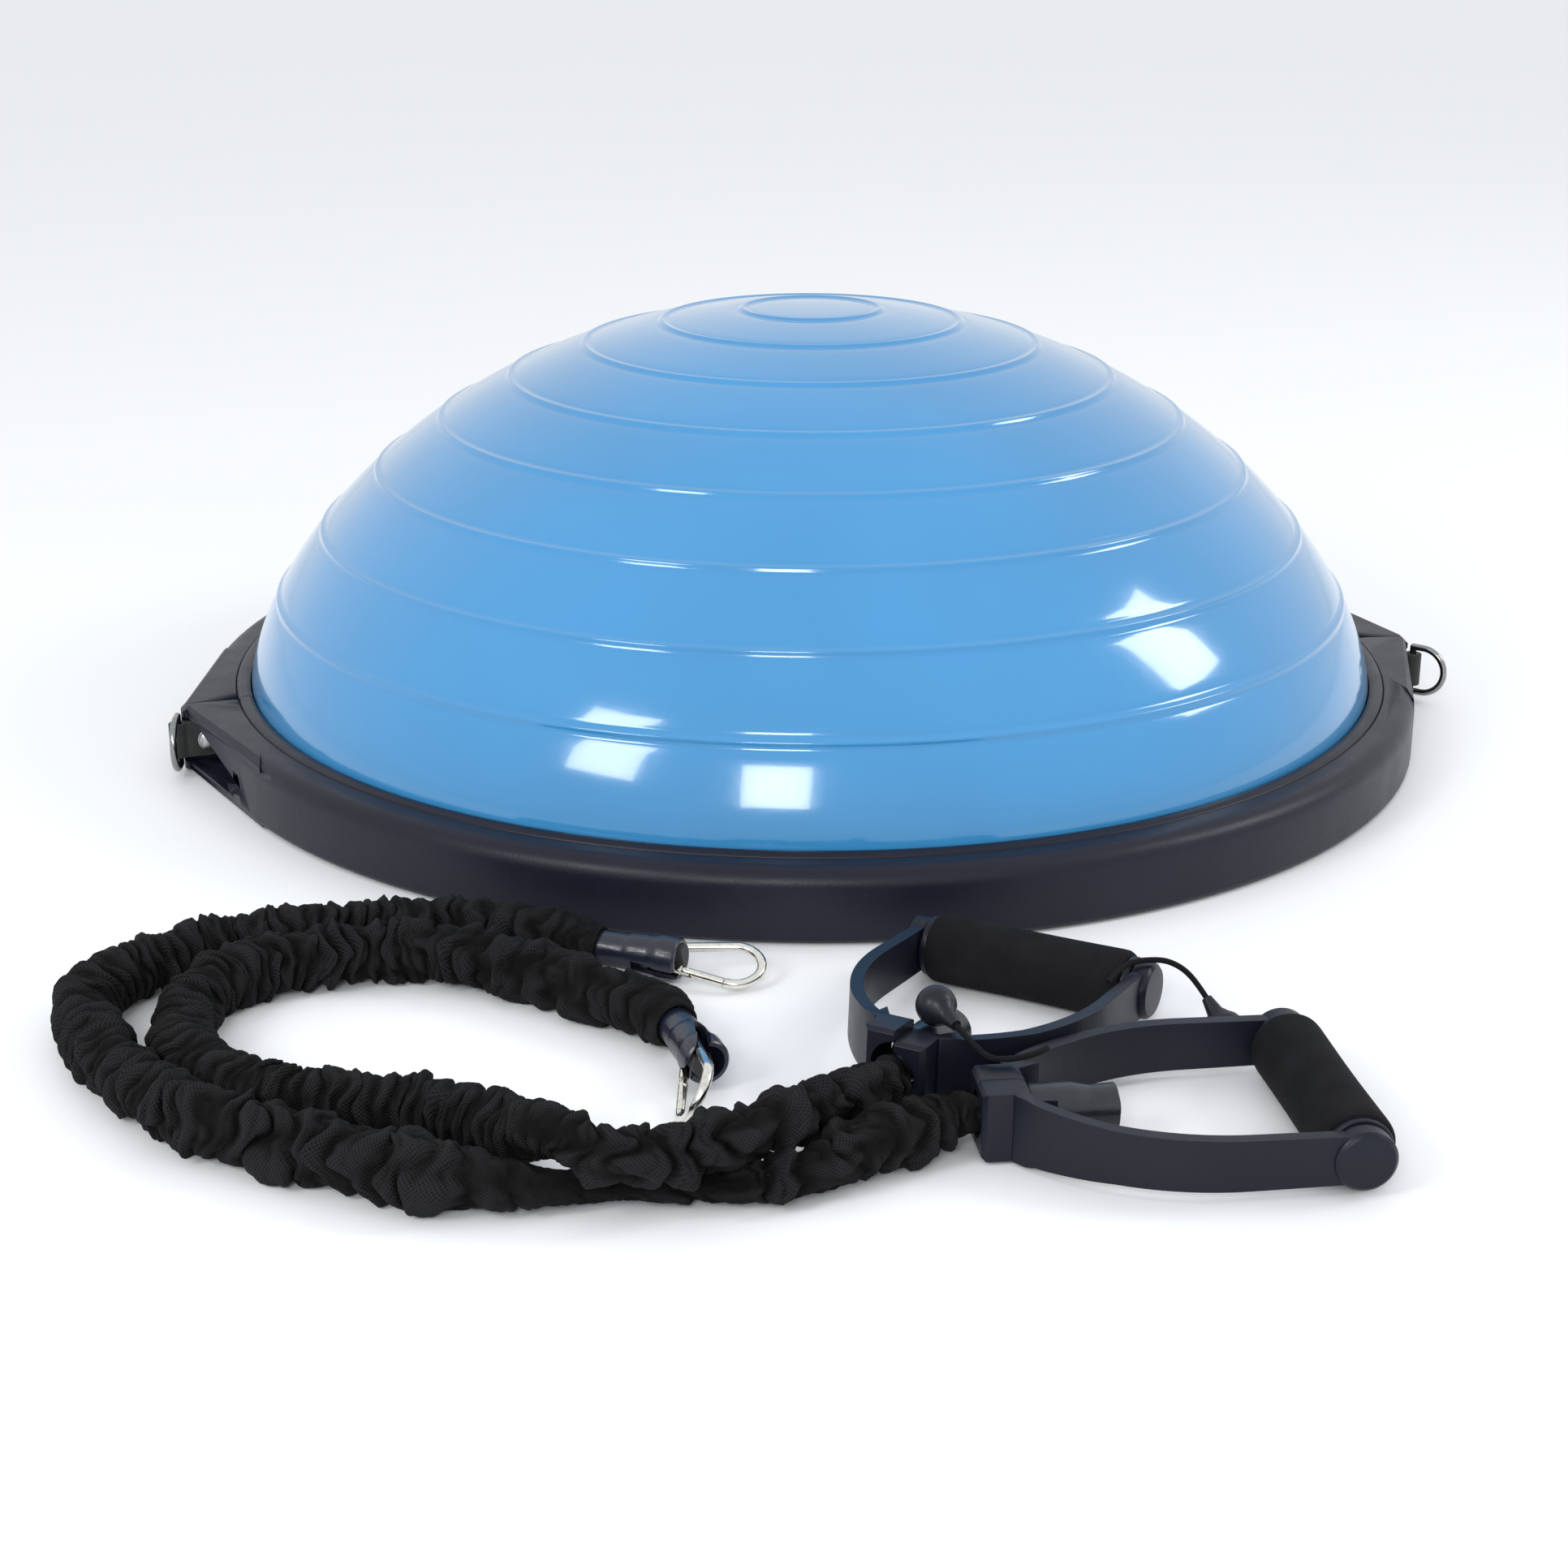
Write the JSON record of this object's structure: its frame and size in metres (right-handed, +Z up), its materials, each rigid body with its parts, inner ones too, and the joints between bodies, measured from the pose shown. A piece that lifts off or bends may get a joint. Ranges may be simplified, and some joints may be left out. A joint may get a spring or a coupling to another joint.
{
  "type": "balance dome trainer",
  "caption": "Inflated ringed dome clamped to a round platform with two side anchor lugs and D rings, beside two sleeved elastic bands with grip handles and snap hooks.",
  "frame": {"origin": "centre of the platform's rubber foot ring, on the floor", "axes": "+Z up along the dome's axis, X along the two side lugs, -Y towards the bands"},
  "size_m": [0.734, 0.9042, 0.225],
  "materials": {
    "slate_plastic": "satin, fine grain",
    "dome_blue": "high gloss",
    "black_rubber": "matte",
    "zinc_steel": "zinc plated",
    "webbing": "woven",
    "gunmetal": "dark plated, polished",
    "handle_plastic": "satin",
    "foam": "closed-cell foam, matte",
    "sleeve_cloth": "gathered plain weave",
    "tube_rubber": "smooth",
    "boot_rubber": "glossy",
    "nickel": "polished",
    "valve_plastic": "smooth"
  },
  "bodies": {
    "dome_unit": {"pan": "slate_plastic", "rim_front": "slate_plastic", "rim_rear": "slate_plastic", "clamp_ring": "zinc_steel", "clamp_screws": "zinc_steel", "rim_screws": "zinc_steel", "grip_ring": "black_rubber", "dome": "dome_blue", "valve_seat": "black_rubber", "left_strap": "webbing", "left_anchor_bolt": "zinc_steel", "left_anchor_nut": "zinc_steel", "left_washers": "zinc_steel", "right_strap": "webbing", "right_anchor_bolt": "zinc_steel", "right_anchor_nut": "zinc_steel", "right_washers": "zinc_steel"},
    "valve_stopper": {"valve_plug": "valve_plastic"},
    "left_ring": {"left_d_ring": "gunmetal"},
    "right_ring": {"right_d_ring": "gunmetal"},
    "resistance_bands": {"front_near_arm": "handle_plastic", "front_far_arm": "handle_plastic", "front_axle": "zinc_steel", "front_tube_plug": "boot_rubber", "front_tube": "tube_rubber", "front_sleeve": "sleeve_cloth", "front_boot": "boot_rubber", "front_loop": "webbing", "front_hook": "nickel", "front_gate_pin": "nickel", "front_keeper_cord": "webbing", "front_keeper_ball": "handle_plastic", "rear_near_arm": "handle_plastic", "rear_far_arm": "handle_plastic", "rear_axle": "zinc_steel", "rear_tube_plug": "boot_rubber", "rear_tube": "tube_rubber", "rear_sleeve": "sleeve_cloth", "rear_boot": "boot_rubber", "rear_loop": "webbing", "rear_hook": "nickel", "rear_gate_pin": "nickel", "rear_keeper_cord": "webbing", "rear_keeper_ball": "handle_plastic"},
    "front_grip": {"front_grip_core": "handle_plastic", "front_foam": "foam"},
    "rear_grip": {"rear_grip_core": "handle_plastic", "rear_foam": "foam"},
    "front_hook_gate": {"front_gate": "nickel"},
    "rear_hook_gate": {"rear_gate": "nickel"}
  },
  "joints": [
    {"name": "bands_lift_off", "type": "slide", "parent": "dome_unit", "child": "resistance_bands", "axis": [0, 0, 1], "range_m": [0, 0.3]},
    {"name": "left_d_ring_swing", "type": "hinge", "parent": "dome_unit", "child": "left_ring", "pos_m": [-0.33853, -0.03514, 0.0175], "axis": [0, 0, -1], "range_deg": [-20, 160]},
    {"name": "right_d_ring_swing", "type": "hinge", "parent": "dome_unit", "child": "right_ring", "pos_m": [0.33853, -0.03514, 0.0175], "axis": [0, 0, 1], "range_deg": [-56, 124]},
    {"name": "valve_plug_pull", "type": "slide", "parent": "dome_unit", "child": "valve_stopper", "axis": [0, 0, -1], "range_m": [0, 0.016]},
    {"name": "front_grip_spin", "type": "hinge", "parent": "resistance_bands", "child": "front_grip", "pos_m": [0.08868, -0.52414, 0.01475], "axis": [0.0698, 0.9976, 0], "continuous": true},
    {"name": "rear_grip_spin", "type": "hinge", "parent": "resistance_bands", "child": "rear_grip", "pos_m": [0.01524, -0.38902, 0.01485], "axis": [-0.7716, 0.6361, 0], "continuous": true},
    {"name": "front_gate_open", "type": "hinge", "parent": "resistance_bands", "child": "front_hook_gate", "pos_m": [-0.12353, -0.35102, 0.00674], "axis": [-0.0554, -0.3438, 0.9374], "range_deg": [0, 25], "stiffness_Nm_per_rad": 0.01, "springref_deg": -17.19},
    {"name": "rear_gate_open", "type": "hinge", "parent": "resistance_bands", "child": "rear_hook_gate", "pos_m": [-0.14161, -0.45433, 0.00581], "axis": [-0.8774, 0.0995, 0.4694], "range_deg": [0, 25], "stiffness_Nm_per_rad": 0.01, "springref_deg": -17.19}
  ]
}
